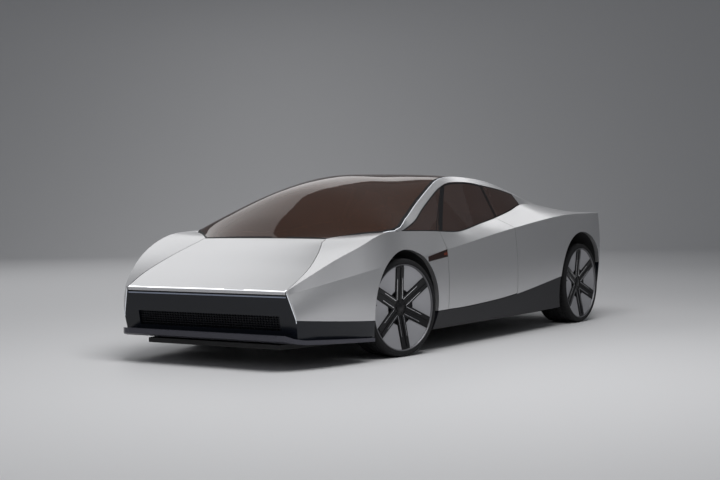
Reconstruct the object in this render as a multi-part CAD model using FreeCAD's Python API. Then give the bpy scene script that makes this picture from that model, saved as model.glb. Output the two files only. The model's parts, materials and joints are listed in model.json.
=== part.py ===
import FreeCAD, Part
import math
import os

V = FreeCAD.Vector
doc = FreeCAD.newDocument("supercar")

# Driving dimensions, in millimetres and degrees
SIZES = [
    ("wheelbase", 3000), ("front_axle_x", 1280), ("half_width", 993), ("body_lift", 0),
    ("tyre_radius", 358), ("rim_radius", 314), ("tyre_width_front", 250), ("tyre_width_rear", 290),
    ("wheel_face_y", 964), ("kingpin_y", 810), ("steer_rest_deg", 10.4), ("spoke_count", 6),
    ("hub_radius", 62), ("dish_depth", 45), ("disc_radius", 205), ("disc_thickness", 30),
    ("arch_radius_front", 420), ("arch_radius_rear", 465),
    ("panel_thickness", 36), ("frame_thickness", 42), ("glass_thickness", 6), ("shut_gap", 6),
    ("door_front", -570), ("door_rear", -1700), ("jamb_depth", 60),
    ("door_inner_front_y", 845), ("door_inner_rear_y", 772),
    ("floor_bottom", 132), ("floor_thickness", 34), ("cabin_floor", 300),
    ("splitter_reach", 1200), ("lip_height", 245), ("socket_pocket", 18), ("socket_thread", 8),
    ("lid_front", -3125), ("lid_rear", -3744), ("lid_half_front", 610), ("lid_half_rear", 640),
    ("battery_length", 1900), ("battery_width", 1300), ("battery_height", 118),
    ("seat_y", 370), ("seat_width", 500), ("seat_base_x", -1150), ("wheel_rim_radius", 180),
]
sheet = doc.addObject("Spreadsheet::Sheet", "Sizes")
for row, (alias, value) in enumerate(SIZES, start=1):
    sheet.set("A%d" % row, alias)
    sheet.set("B%d" % row, str(value))
    sheet.setAlias("B%d" % row, alias)
doc.recompute()


def size(alias):
    return float(sheet.get(alias))


AXLE_SPAN = 3000.0
HALF_DRAWN = 993.0

# Feature lines of the left side, as (ahead of the front axle, half width, height)
SILL_EDGE = [(1150, 750, 205), (700, 870, 185), (400, 930, 175), (-450, 955, 165), (-2500, 955, 170),
             (-3200, 938, 215), (-3340, 924, 228), (-3450, 902, 245), (-3560, 862, 264), (-3660, 820, 282),
             (-3760, 775, 300)]
PAINT_EDGE = [(1150, 765, 345), (800, 885, 317), (410, 965, 293), (0, 985, 290), (-450, 985, 300),
              (-870, 985, 302), (-1620, 985, 340), (-2520, 985, 444), (-3000, 981, 500),
              (-3200, 975, 515), (-3340, 963, 524), (-3450, 939, 530), (-3560, 895, 536),
              (-3660, 850, 541), (-3760, 802, 545)]
SIDE_LINE = [(1150, 757, 430), (800, 893, 450), (410, 975, 470), (0, 993, 490), (-570, 993, 530),
             (-1620, 993, 590), (-2520, 988, 690), (-3000, 984, 735), (-3200, 979, 747), (-3340, 967, 753),
             (-3450, 944, 755), (-3560, 901, 757), (-3660, 856, 759), (-3760, 808, 760)]
CREASE = [(1150, 730, 512), (800, 885, 590), (450, 962, 650), (0, 983, 705), (-570, 980, 757),
          (-1310, 973, 849), (-1740, 970, 898), (-2210, 966, 946), (-2600, 960, 977), (-2880, 954, 986),
          (-3200, 947, 987), (-3340, 942, 987), (-3450, 926, 986), (-3560, 885, 985), (-3660, 840, 984),
          (-3760, 792, 982)]
SHOULDER = [(1150, 722, 532), (1000, 808, 626), (800, 895, 734), (600, 958, 816), (400, 975, 885),
            (250, 965, 908), (100, 935, 915), (0, 922, 912), (-420, 920, 900), (-840, 900, 882),
            (-1020, 880, 892), (-1320, 850, 933), (-1680, 800, 975), (-2060, 752, 1036),
            (-2290, 712, 1078), (-2600, 690, 1078), (-2860, 715, 1045), (-3070, 790, 1010),
            (-3340, 845, 996), (-3450, 845, 993), (-3560, 820, 990), (-3660, 782, 987), (-3760, 740, 984)]
HOOD_EDGE = [(1150, 712, 524), (980, 722, 612), (810, 697, 693), (620, 633, 785), (435, 566, 868),
             (250, 745, 895), (100, 900, 905), (0, 895, 900), (-420, 890, 888), (-840, 860, 876),
             (-1320, 800, 925), (-1740, 740, 975), (-2290, 640, 1030), (-2860, 600, 1035),
             (-3070, 640, 1012), (-3340, 735, 998), (-3560, 745, 991), (-3660, 722, 988), (-3760, 690, 985)]
HOOD_CENTRE = [(1150, 0, 526), (980, 0, 620), (810, 0, 706), (620, 0, 800), (435, 0, 872), (250, 0, 900),
               (0, 0, 905), (-840, 0, 885), (-1740, 0, 985), (-2290, 0, 1035), (-2860, 0, 1035),
               (-3070, 0, 1015), (-3400, 0, 1000), (-3760, 0, 990)]
ROOF_CENTRE = [(435, 0, 869), (270, 0, 1005), (100, 0, 1118), (-40, 0, 1198), (-170, 0, 1255),
               (-480, 0, 1327), (-700, 0, 1347), (-1150, 0, 1353), (-1360, 0, 1350), (-1890, 0, 1318),
               (-2370, 0, 1225), (-2860, 0, 1100), (-3120, 0, 1020), (-3300, 0, 965)]
GLASS_EDGE = [(435, 566, 866), (270, 745, 893), (100, 925, 913), (-200, 845, 1000), (-480, 757, 1100),
              (-870, 660, 1245), (-1070, 617, 1303), (-1360, 600, 1320), (-1890, 585, 1282),
              (-2370, 570, 1190), (-2860, 560, 1070), (-3120, 560, 1000), (-3300, 560, 950)]
RAIL_FOOT = [(435, 572, 830), (270, 752, 862), (100, 928, 886), (0, 917, 908), (-300, 860, 988),
             (-480, 800, 1058), (-870, 700, 1205), (-1030, 665, 1250), (-1140, 655, 1272),
             (-1440, 648, 1277), (-1740, 642, 1250), (-2060, 640, 1212), (-2270, 645, 1172),
             (-2450, 648, 1130), (-2700, 640, 1085), (-2860, 632, 1050), (-3120, 620, 985), (-3300, 615, 935)]
BELT = [(435, 576, 800), (270, 756, 835), (100, 930, 862), (0, 921, 900), (-420, 919, 896),
        (-840, 899, 879), (-1020, 879, 889), (-1320, 849, 930), (-1680, 799, 972), (-2060, 751, 1033),
        (-2290, 711, 1072), (-2600, 688, 1072), (-2860, 690, 1030), (-3120, 680, 965), (-3300, 670, 915)]


def slope(points, index, part):
    low = max(index - 1, 0)
    high = min(index + 1, len(points) - 1)
    return (points[high][part] - points[low][part]) / (points[high][0] - points[low][0])


def at(points, ahead):
    # The half width and height of a feature line at one station, on a smooth curve through its points
    index = 0
    while index < len(points) - 2 and ahead < points[index + 1][0]:
        index += 1
    start, end = points[index], points[index + 1]
    step = end[0] - start[0]
    u = (ahead - start[0]) / step
    found = []
    for part in (1, 2):
        leave = slope(points, index, part) * step
        arrive = slope(points, index + 1, part) * step
        found.append((2 * u ** 3 - 3 * u ** 2 + 1) * start[part] + (u ** 3 - 2 * u ** 2 + u) * leave
                     + (3 * u ** 2 - 2 * u ** 3) * end[part] + (u ** 3 - u ** 2) * arrive)
    return found


def along(ahead):
    # Drawn stations keep their distance to the nearer axle and spread between the axles
    front = size("front_axle_x")
    if ahead > 0:
        return front + ahead
    if ahead > -AXLE_SPAN:
        return front + ahead * size("wheelbase") / AXLE_SPAN
    return front - size("wheelbase") + ahead + AXLE_SPAN


def across(half):
    return half * size("half_width") / HALF_DRAWN


def up(height):
    return height + size("body_lift")


def point(ahead, half, height):
    return V(along(ahead), across(half), up(height))


def spread(points, stations):
    # One smooth line through the points, with a parameter that runs evenly along the body
    line = Part.BSplineCurve()
    line.interpolate(Points=points, Parameters=[stations[0] - s for s in stations])
    return line


def strip(lines):
    # A surface carried by two straight-ruled lines, or by three with the middle one pulling it out
    poles = [list(column) for column in zip(*[line.getPoles() for line in lines])]
    knots = lines[0].getKnots()
    multiples = lines[0].getMultiplicities()
    degree = len(lines) - 1
    surface = Part.BSplineSurface()
    surface.buildFromPolesMultsKnots(poles, multiples, [degree + 1, degree + 1], knots, [0.0, 1.0],
                                     False, False, lines[0].Degree, degree)
    return surface.toShape()


def pull(start, middle, end):
    return middle * 2 - (start + end) * 0.5


def skin(section, stations, inset):
    # Closes the strips between the feature lines, with a flat cap at each end
    rows = [section(station, inset) for station in stations]
    faces = []
    for number in range(len(rows[0])):
        count = len(rows[0][number])
        lines = [spread([row[number][k] for row in rows], stations) for k in range(count)]
        faces.append(strip(lines))
    for row in (rows[0], rows[-1]):
        edges = []
        for controls in row:
            edge = Part.BezierCurve()
            edge.setPoles(controls)
            edges.append(edge.toShape())
        faces.append(Part.Face(Part.Wire(Part.__sortEdges__(edges))))
    shell = Part.makeShell(faces)
    shell.sewShape()
    solid = Part.makeSolid(shell)
    if solid.Volume < 0:
        solid.reverse()
    return solid


def mirrored(points):
    return [V(p.x, -p.y, p.z) for p in points]


def lower_section(ahead, inset):
    sill = at(SILL_EDGE, ahead)
    paint = at(PAINT_EDGE, ahead)
    side = at(SIDE_LINE, ahead)
    crease = at(CREASE, ahead)
    shoulder = at(SHOULDER, ahead)
    hood = at(HOOD_EDGE, ahead)
    middle = at(HOOD_CENTRE, ahead)
    left = [point(ahead, sill[0] - inset, sill[1] + inset), point(ahead, paint[0] - inset, paint[1]),
            point(ahead, side[0] - inset, side[1]), point(ahead, crease[0] - inset, crease[1] - 0.6 * inset),
            point(ahead, shoulder[0] - inset, shoulder[1] - inset),
            point(ahead, hood[0] - 0.7 * inset, hood[1] - inset)]
    right = mirrored(left)
    top = point(ahead, 0, middle[1] - inset)
    return [[left[0], left[1]], [left[1], pull(left[1], left[2], left[3]), left[3]], [left[3], left[4]],
            [left[4], left[5]], [left[5], pull(left[5], top, right[5]), right[5]], [right[5], right[4]],
            [right[4], right[3]], [right[3], pull(right[3], right[2], right[1]), right[1]],
            [right[1], right[0]], [right[0], left[0]]]


def upper_section(ahead, inset):
    glass = at(GLASS_EDGE, ahead)
    foot = at(RAIL_FOOT, ahead)
    belt = at(BELT, ahead)
    middle = at(ROOF_CENTRE, ahead)
    left = [point(ahead, belt[0] - inset - 20, 700 + inset), point(ahead, belt[0] - inset, belt[1]),
            point(ahead, foot[0] - inset, foot[1] - 0.4 * inset),
            point(ahead, glass[0] - 0.7 * inset, glass[1] - 0.9 * inset)]
    right = mirrored(left)
    top = point(ahead, 0, middle[1] - inset)
    return [[left[0], left[1]], [left[1], left[2]], [left[2], left[3]],
            [left[3], pull(left[3], top, right[3]), right[3]], [right[3], right[2]],
            [right[2], right[1]], [right[1], right[0]], [right[0], left[0]]]


LOWER_STATIONS = list(range(1150, 0, -115)) + list(range(0, -3240, -230)) + [-3340, -3450, -3560, -3660, -3760]
UPPER_STATIONS = [435, 350, 270, 185, 100, 30] + list(range(-60, -3200, -180)) + [-3300]

TOP = 1600.0
WIDE = 1300.0
made = []


def keep(name, shape):
    # Each sub-part becomes one feature of the document with its own label
    solids = [s for s in shape.Solids if s.Volume > 500]
    shape = solids[0] if len(solids) == 1 else Part.makeCompound(solids)
    feature = doc.addObject("Part::Feature", name)
    feature.Label = name
    feature.Shape = shape
    made.append(feature)
    return feature


def side_prism(outline, low_y=-WIDE, high_y=WIDE):
    # An outline in (ahead, height) carried across the body
    corners = [V(along(a), low_y, up(h)) for a, h in outline]
    return Part.Face(Part.makePolygon(corners + corners[:1])).extrude(V(0, high_y - low_y, 0))


def plan_prism(outline, low_z=0.0, high_z=TOP):
    # An outline in (ahead, half width) carried up
    corners = [V(along(a), across(w), low_z) for a, w in outline]
    return Part.Face(Part.makePolygon(corners + corners[:1])).extrude(V(0, 0, high_z - low_z))


def followed(line, first, last, count, part, shift):
    # Points of a feature line between two stations: part 0 gives half widths, 1 gives heights
    step = (last - first) / (count - 1)
    return [(first + k * step, at(line, first + k * step)[part] + shift) for k in range(count)]


def block(low_a, high_a, low_y, high_y, low_z, high_z):
    # A box between two stations
    return Part.makeBox(along(high_a) - along(low_a), high_y - low_y, high_z - low_z,
                        V(along(low_a), low_y, low_z))


def both(shape):
    # The same solid on both sides
    return [shape, mirror(shape)]


def mirror(shape):
    return shape.mirror(V(0, 0, 0), V(0, 1, 0))


def one(shapes):
    return shapes[0].multiFuse(shapes[1:])


AXLES = {"front": 0.0, "rear": -AXLE_SPAN}
AXLE_Z = size("tyre_radius")
GAP = size("shut_gap")
PANEL = size("panel_thickness")
LINER = 6.0
DOOR_FRONT = size("door_front")
DOOR_REAR = size("door_rear")


def arch(end, extra=0.0, low_y=440.0, high_y=WIDE):
    return Part.makeCylinder(size("arch_radius_" + end) + extra, high_y - low_y,
                             V(along(AXLES[end]), low_y, AXLE_Z), V(0, 1, 0))


# The nose leans back below its leading edge, and the tail is cut off above a tucked-in bumper
NOSE_EDGE = (1126, 536)
NOSE_FOOT = (1093, 339)


def nose_at(height, back=0.0):
    lean = (NOSE_EDGE[0] - NOSE_FOOT[0]) / (NOSE_EDGE[1] - NOSE_FOOT[1])
    return NOSE_EDGE[0] + lean * (height - NOSE_EDGE[1]) - back


def nose_cut(back=0.0):
    return side_prism([(nose_at(0, back), 0), (1400, 0), (1400, TOP), (nose_at(TOP, back), TOP)])


TAIL = [(-3760, 990), (-3752, 960), (-3715, 560), (-3738, 470), (-3650, 290), (-3620, 100)]


def tail_cut(back=0.0):
    edge = [(a + back, h) for a, h in TAIL]
    return side_prism([(-4200, 1600), (edge[0][0], 1600)] + edge + [(-4200, 100)])


lower = skin(lower_section, LOWER_STATIONS, 0).cut(nose_cut()).cut(tail_cut())
lower_inside = skin(lower_section, LOWER_STATIONS, PANEL).cut(nose_cut(PANEL)).cut(tail_cut(PANEL))
upper = skin(upper_section, UPPER_STATIONS, 0)
upper_pane = skin(upper_section, UPPER_STATIONS, size("glass_thickness"))
upper_inside = skin(upper_section, UPPER_STATIONS, size("frame_thickness"))
LEFT = Part.makeBox(8000, WIDE, 2 * TOP, V(-4000, 0, 0))
shell = lower.cut(lower_inside)
shell_left = shell.common(LEFT)
OPEN_BOTTOM = Part.makeBox(8000, 2 * WIDE, TOP, V(-4000, -WIDE, 770))
upper_frame = upper.cut(upper_inside).common(LEFT).common(OPEN_BOTTOM)
upper_glass = upper.cut(upper_pane).common(OPEN_BOTTOM)
upper_lining = upper_pane.cut(upper_inside).common(LEFT).common(OPEN_BOTTOM)


# Outlines shared by neighbouring panels
def hood_plan(out):
    edge = followed(HOOD_EDGE, 435 + 1, 1150, 12, 0, out)
    rear = 435 + GAP - out
    return [(rear, -edge[0][1])] + [(a, -w) for a, w in edge[1:]] + edge[:0:-1] + [(rear, edge[0][1])]


def lid_plan(out):
    front = size("lid_front") + out
    rear = size("lid_rear") - out
    return [(front, -size("lid_half_front") - out), (front, size("lid_half_front") + out),
            (rear, size("lid_half_rear") + out), (rear, -size("lid_half_rear") - out)]


def above_paint(shift):
    edge = followed(PAINT_EDGE, 1150, -3760, 36, 1, shift)
    return side_prism([(1300, TOP), (1300, edge[0][1])] + edge + [(-4000, edge[-1][1]), (-4000, TOP)])


def inside_glass_plan(out):
    edge = followed(GLASS_EDGE, 435, -3290, 44, 0, out)
    return plan_prism(edge + [(a, -w) for a, w in edge[::-1]])


def rail_edge(shift):
    # The lower edge of pillar and rail: it starts on the fender and follows the rail foot
    foot = followed(RAIL_FOOT, -20, -3290, 44, 1, shift)
    return [(60, at(SHOULDER, 60)[1] + 3 + shift)] + foot


def above_rail(shift):
    edge = rail_edge(shift)
    return side_prism([(60, TOP)] + edge + [(edge[-1][0], TOP)], 0)


def below_rail(shift):
    edge = rail_edge(shift)
    return side_prism([(60, 600)] + edge + [(edge[-1][0], 600)], 0)


def above_belt(shift):
    edge = followed(SHOULDER, 60, -3290, 44, 1, shift)
    return side_prism([(60, TOP)] + edge + [(edge[-1][0], TOP)], 0)


def rear_shut(shift):
    # The door's rear edge leans forward towards the cabin, so that the door swings clear
    skin_y = HALF_DRAWN
    steps = [(200, -4), (0, 0), (-93, 9), (-193, 28), (-263, 44)]
    return [(DOOR_REAR + shift + forward, skin_y + inboard) for inboard, forward in steps]


def door_plan():
    inner_front = size("door_inner_front_y")
    return plan_prism(rear_shut(GAP / 2)[:4] + [(DOOR_REAR + 40, size("door_inner_rear_y")),
                                                (DOOR_FRONT - GAP / 2, inner_front),
                                                (DOOR_FRONT - GAP / 2, HALF_DRAWN + 200)])


def door_side(shift):
    # The door's side outline above the sill
    bottom = followed(PAINT_EDGE, DOOR_FRONT + 1, DOOR_REAR - 80, 12, 1, shift)
    return side_prism([(DOOR_FRONT + 1, TOP)] + bottom + [(DOOR_REAR - 80, TOP)], 0)


def front_light_outline(shut):
    # The fixed front pane between the pillar and the door glass
    return side_prism([(60, 700), (60, TOP), (DOOR_FRONT - 487 + shut, TOP), (DOOR_FRONT - 487 + shut, 1262),
                       (DOOR_FRONT + shut, 880), (DOOR_FRONT + shut, 700)], 0)


def door_glass_outline():
    shut = -GAP / 2
    edge = DOOR_REAR + GAP * 0.7
    return side_prism([(DOOR_FRONT + shut, 700), (DOOR_FRONT + shut, 880), (DOOR_FRONT - 487 + shut, 1262),
                       (DOOR_FRONT - 487 + shut, TOP), (edge, TOP), (edge, 700)], 0)


def rear_glass_outline():
    # The rear pane closes in a blunt tip
    start = DOOR_REAR - GAP * 0.7
    return side_prism([(start, 700), (start, TOP), (-2262, TOP), (-2266, 1160), (-2292, 1092), (-2286, 1070),
                       (-2250, 700)], 0)


def hinge_arc(centre, axis, reach, radius, depth, thickness, sweep):
    # A curved hinge arm about a joint's axis, from its start direction through the sweep
    direction = reach.normalize()
    side = axis
    half = thickness / 2
    corners = []
    for r, s in ((radius - depth / 2, -half), (radius + depth / 2, -half),
                 (radius + depth / 2, half), (radius - depth / 2, half)):
        corners.append(centre + direction * r + side * s)
    return Part.Face(Part.makePolygon(corners + corners[:1])).revolve(centre, axis, sweep)


DOOR_AXIS_Y = across(HALF_DRAWN) + 7
HINGE_RADIUS = 100.0
HINGE_DEPTH = 12.0
HINGE_HEIGHTS = (440.0, 680.0)
RUNNING = 0.4


def door_arms(grow):
    arms = []
    for height in HINGE_HEIGHTS:
        centre = V(along(DOOR_FRONT), DOOR_AXIS_Y, height)
        start = math.radians(-90 + 70)
        arm = hinge_arc(centre, V(0, 0, 1), V(math.cos(start), math.sin(start), 0), HINGE_RADIUS,
                        HINGE_DEPTH + 2 * grow, 30 + 2 * grow, -105 - grow)
        arms.append(arm)
    return arms


# The hood's and the tail lid's arms slide in slots below their rear and front edges
LID_RADIUS = 80.0


def lid_arms(centre_x, height, axis_y, start, sweep, grow):
    arms = []
    for y in (-420, 420):
        centre = V(centre_x, y, height)
        reach = V(math.cos(math.radians(start)), 0, math.sin(math.radians(start)))
        arms.append(hinge_arc(centre, V(0, axis_y, 0), reach, LID_RADIUS, HINGE_DEPTH + 2 * grow,
                              24 + 2 * grow, sweep - grow))
    return arms


def hood_arms(grow):
    return lid_arms(along(HOOD_AXIS[0]), HOOD_AXIS[1], -1, -35, -105, grow)


def tail_lid_arms(grow):
    return lid_arms(along(TAIL_AXIS[0]), TAIL_AXIS[1], 1, 200, -125, grow)


HOOD_AXIS = (440.5, 868)
TAIL_AXIS = (-3125, 1012)


# Doors
def make_doors():
    panel = lower.common(door_plan()).common(door_side(4)).common(LEFT)
    panel = one([panel] + door_arms(0))
    keep("door_left", panel)
    keep("door_right", mirror(panel))
    pane = outside_glass(upper_glass.common(LEFT).common(door_glass_outline()))
    pane = pane.common(above_belt(0.3)).common(below_rail(-8))
    keep("door_glass_left", pane)
    keep("door_glass_right", mirror(pane))


def outside_glass(shape):
    return shape.cut(inside_glass_plan(-4))


# Hood
def make_hood():
    hood = shell.common(plan_prism(hood_plan(0)))
    hood = hood.cut(block(435, 1200, -WIDE, WIDE, 0, 515)).common(block(430, 1200, -WIDE, WIDE, 400, TOP))
    keep("hood", one([hood] + hood_arms(0)))


# Front fenders with the hinge posts
def make_fenders():
    half = shell_left.common(above_paint(3))
    half = half.common(block(DOOR_FRONT + GAP / 2, 1200, 0, WIDE, 0, TOP))
    half = half.cut(plan_prism(hood_plan(GAP))).cut(arch("front"))
    half = half.cut(inside_glass_plan(-4))
    half = half.cut(front_panel_prism())
    post = lower.common(block(DOOR_FRONT + GAP / 2, DOOR_FRONT + 110, 0, WIDE, 0, TOP)).common(above_paint(3))
    post = post.cut(block(DOOR_FRONT - 10, DOOR_FRONT + 200, 0, size("door_inner_front_y") - 60, 0, TOP))
    post = post.common(block(DOOR_FRONT - 10, DOOR_FRONT + 200, 0, WIDE, 0, 880)).cut(arch("front", 8))
    half = one([half, post])
    for arm in door_arms(RUNNING):
        half = half.cut(arm)
    half = half.cut(marker_recess())
    keep("fender_left", half)
    keep("fender_right", mirror(half))


def marker_recess(shrink=0.0):
    # A wedge that opens from the arch to the shut line, under the crease
    tip, end = DOOR_FRONT + 240, DOOR_FRONT + GAP / 2 + shrink
    shape = side_prism([(tip - 4 * shrink, 706), (end, 742 - shrink), (end, 702 + shrink)], 900)
    return shape.common(lower).cut(skin_below(14 - shrink))


def skin_below(depth):
    return Part.makeBox(8000, 2 * (across(981) - depth), 2 * TOP, V(-4000, -across(981) + depth, 0))


def front_panel_prism():
    # The dark panel's outline in the front face, carried back into the nose
    rows = [(724, 529), (778, 339), (778, 100)]
    corners = [V(0, w, h) for w, h in rows] + [V(0, -w, h) for w, h in rows[::-1]]
    face = Part.Face(Part.makePolygon(corners + corners[:1]))
    face.translate(V(along(1020), 0, 0))
    return face.extrude(V(200, 0, 0))


# Towing-eye socket: a threaded hole at the foot of a round pocket, in a boss behind the panel
def tow_socket(face, y, z, way):
    axis = V(way, 0, 0)
    boss = Part.makeCylinder(size("socket_pocket") + 10, 100, V(face - 100 * way, y, z), axis)
    pocket = Part.makeCylinder(size("socket_pocket"), 80, V(face - 40 * way, y, z), axis)
    thread = Part.makeCylinder(size("socket_thread"), 60, V(face - 90 * way, y, z), axis)
    return boss.common(lower), pocket.fuse(thread)


# Dark lower nose with the front panel, the intake, the lamp line and the lip
def make_nose():
    skirt = shell.cut(above_paint(3)).common(block(300, 1300, -WIDE, WIDE, 0, 420))
    skirt = skirt.cut(block(300, 1040, -640, 640, 0, 420))
    for wheel_room in both(arch("front")) + both(arch("front", LINER, 440, 915)):
        skirt = skirt.cut(wheel_room)
    panel = shell.common(front_panel_prism()).common(block(1000, 1300, -WIDE, WIDE, 0, 529))
    hood_room = block(1000, 1300, -718, 718, 515 - GAP, 700)
    boss, socket = tow_socket(along(nose_at(300)), -580, 300, 1)
    nose = one([skirt, panel, boss]).cut(hood_room)
    slot = lamp_line(0.3, 22)
    mouth = side_prism([(nose_at(266, 25), 266), (nose_at(266, -30), 266), (nose_at(368, -30), 368),
                        (nose_at(368, 25), 368)], -640, 640)
    keep("front_bumper", nose.cut(slot).cut(mouth).cut(socket))
    keep("light_bar", lamp_line(0, 21).common(lower))
    lip_top = size("lip_height")
    reach = size("splitter_reach")
    edge = [(reach, 640), (reach - 10, 690), (reach - 35, 728), (1120, 765), (1040, 812), (900, 862),
            (700, 905), (550, 930), (395, 948), (395, 880), (550, 862), (700, 838), (900, 795), (1042, 720)]
    band = plan_prism(edge + [(a, -w) for a, w in edge[::-1]])
    band = band.common(side_prism([(1230, lip_top), (1160, lip_top), (1110, 222), (1030, 205), (700, 188),
                                   (395, 172), (395, 146), (700, 160), (1030, 176), (1110, 190),
                                   (1160, 205), (1230, 214)]))
    band = band.cut(arch("front", LINER + 0.5)).cut(mirror(arch("front", LINER + 0.5)))
    keep("splitter", band.cut(one([skirt, panel])))


def lamp_line(clear, depth):
    low, high = 494 - clear, 503 + clear
    outline = [(nose_at(low, depth + clear), low), (nose_at(low, -20), low), (nose_at(high, -20), high),
               (nose_at(high, depth + clear), high)]
    return side_prism(outline, -716 - clear, 716 + clear)


# Roof frame: pillars and rails on both sides, with a header over the cabin
def make_roof_frame():
    band = outside_glass(upper_frame).common(above_rail(-2))
    band = band.common(block(-3080, 60, 0, WIDE, 0, TOP))
    header = upper_lining.common(block(-1830, -1760, -WIDE, WIDE, 1150, TOP))
    keep("roof_frame", one(both(band) + both(header)))


def make_glass():
    pane = upper_glass.common(inside_glass_plan(-4.3))
    base = followed(GLASS_EDGE, 435, -3290, 44, 1, -14)
    pane = pane.common(side_prism([(435, TOP)] + base + [(-3290, TOP)]))
    front = pane.common(block(-1797, 500, -WIDE, WIDE, 0, TOP))
    rear = pane.common(block(-3110, -1803, -WIDE, WIDE, 0, TOP))
    keep("roof_glass", Part.makeCompound([front, rear]))
    panes = outside_glass(upper_glass.common(LEFT)).common(above_belt(0.3)).common(below_rail(-2))
    quarter = panes.common(rear_glass_outline())
    light = panes.common(front_light_outline(GAP / 2))
    keep("side_glass_left", Part.makeCompound([quarter, light]))
    keep("side_glass_right", Part.makeCompound([mirror(quarter), mirror(light)]))


# Rear quarter panels with the door jambs and the sail panels
def make_quarters():
    behind = plan_prism(rear_shut(-GAP / 2) + [(-4100, 0), (-4100, 1200)])
    side = shell_left.common(above_paint(-2)).common(behind)
    cabin_edge = followed(BELT, -1600, -3110, 12, 0, -70)
    side = side.cut(plan_prism([(-1600, 0)] + cabin_edge + [(-3110, 0)]))
    side = side.cut(plan_prism(lid_plan(GAP))).cut(arch("rear")).cut(tail_panel_prism())
    side = side.cut(arch("rear", LINER, 440, 900))
    foot = followed(RAIL_FOOT, -2200, -3290, 30, 0, 14)
    side = side.cut(above_rail(-2.5).common(plan_prism([(-2200, 0)] + foot + [(-3290, 0)])))
    jamb = lower.common(behind).common(above_paint(-2)).common(LEFT)
    jamb = jamb.common(block(DOOR_REAR - size("jamb_depth"), DOOR_REAR + 60, size("door_inner_rear_y"), WIDE,
                             0, TOP))
    sail = outside_glass(upper_frame)
    sail = sail.common(below_rail(-2)).common(above_belt(-50))
    sail_end = size("lid_front") + GAP
    sail = sail.common(block(sail_end, DOOR_REAR - 4, 0, WIDE, 0, TOP)).cut(rear_glass_outline())
    pillar = outside_glass(upper_lining)
    pillar = pillar.common(below_rail(-2))
    pillar = pillar.common(block(DOOR_REAR - 54, DOOR_REAR - 8, 0, WIDE, 0, TOP))
    quarter = one([side, jamb, sail, pillar])
    keep("quarter_left", quarter)
    keep("quarter_right", mirror(quarter))


def tail_panel_prism():
    rows = [(680, 945), (762, 905), (780, 560), (780, 500)]
    corners = [V(0, w, h) for w, h in rows] + [V(0, -w, h) for w, h in rows[::-1]]
    face = Part.Face(Part.makePolygon(corners + corners[:1]))
    face.translate(V(along(-3700), 0, 0))
    return face.extrude(V(-200, 0, 0))


def make_tail():
    low = shell.cut(above_paint(-2)).common(block(-4000, -3300, -WIDE, WIDE, 0, 700))
    for wheel_room in both(arch("rear")) + both(arch("rear", LINER, 440, 900)):
        low = low.cut(wheel_room)
    low = low.cut(block(-3700, -3200, -640, 640, 0, 700))
    panel = shell.common(tail_panel_prism())
    lamp_low, lamp_high = 842.0, 872.0
    lamp = block(-3800, -3735, -730, 730, lamp_low, lamp_high).common(lower)
    recess = block(-3900, -3734.7, -730.3, 730.3, lamp_low - 0.3, lamp_high + 0.3)
    fins = []
    for y in (-420, -210, 0, 210, 420):
        fins.append(side_prism([(-3300, 170), (-3700, 240), (-3715, 300), (-3500, 300), (-3300, 200)],
                               y - 5, y + 5))
    tray = side_prism([(-3290, 150), (-3290, 166), (-3600, 262), (-3660, 300), (-3700, 300), (-3690, 282),
                       (-3620, 246)], -650, 650)
    boss, socket = tow_socket(-2445, 450, 520, -1)
    bumper = one([low, panel, tray, boss] + fins).cut(recess).cut(socket)
    for wheel_room in both(arch("rear", LINER + 0.5, 593.5, 960)):
        bumper = bumper.cut(wheel_room)
    keep("rear_bumper", bumper)
    keep("tail_lamp", lamp)
    lid = shell.common(plan_prism(lid_plan(0)))
    lid = lid.common(block(-4000, -3000, -WIDE, WIDE, 900, TOP)).cut(tail_panel_prism())
    keep("tail_lid", one([lid] + tail_lid_arms(0)))


# Sills between the arches
def make_sills():
    sill = lower.common(block(-2600, -300, 800, WIDE, 0, 600)).cut(above_paint(-2))
    sill = sill.cut(arch("front", 6)).cut(arch("rear", 6))
    keep("sill_left", sill)
    keep("sill_right", mirror(sill))


def make_markers():
    marker = marker_recess(0.4)
    keep("fender_markers", Part.makeCompound(both(marker)))


# Underbody: floor, cabin floor, wheel liners and bulkheads
def liner(end, inner_y):
    ring = arch(end, LINER, inner_y, 955).cut(arch(end, 0, inner_y + LINER, WIDE))
    ring = ring.common(lower_inside).fuse(ring.common(block(-4000, 2000, 0, inner_y + 40, 0, TOP)))
    ring = ring.cut(block(-4000, 2000, 0, WIDE, 0, size("floor_bottom") + 20))
    window = block(AXLES[end] - 190, AXLES[end] + 190, 0, WIDE, 0, AXLE_Z + 215)
    return ring.cut(window.common(block(-4000, 2000, inner_y - 5, inner_y + LINER + 1, 0, TOP)))


def make_floor():
    low = size("floor_bottom")
    high = low + size("floor_thickness")
    plan = [(1040, 600), (600, 700), (440, 700), (440, 500), (-440, 500), (-440, 798), (-2520, 798),
            (-2520, 600), (-3290, 600)]
    tray = plan_prism(plan + [(a, -w) for a, w in plan[::-1]], low, high)
    cabin = size("cabin_floor")
    deck = block(-2520, -440, -798, 798, cabin - 14, cabin)
    walls = [block(-2520, -440, 690, 798, high, cabin - 14), block(-2520, -440, -798, -690, high, cabin - 14)]
    firewall = block(-452, -440, -870, 870, cabin, 800).common(lower_inside)
    firewall = firewall.fuse(block(-452, -440, -798, 798, high, cabin))
    rear_wall = block(-2540, -2520, -590, 590, high, 900)
    liners = both(liner("front", 494)) + both(liner("rear", 594))
    pan = one([tray, deck, firewall, rear_wall] + walls + liners)
    keep("floor_pan", pan)
    width = size("battery_width")
    keep("battery", block(-2440, -2440 + size("battery_length"), -width / 2, width / 2, high,
                          high + size("battery_height")))


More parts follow.
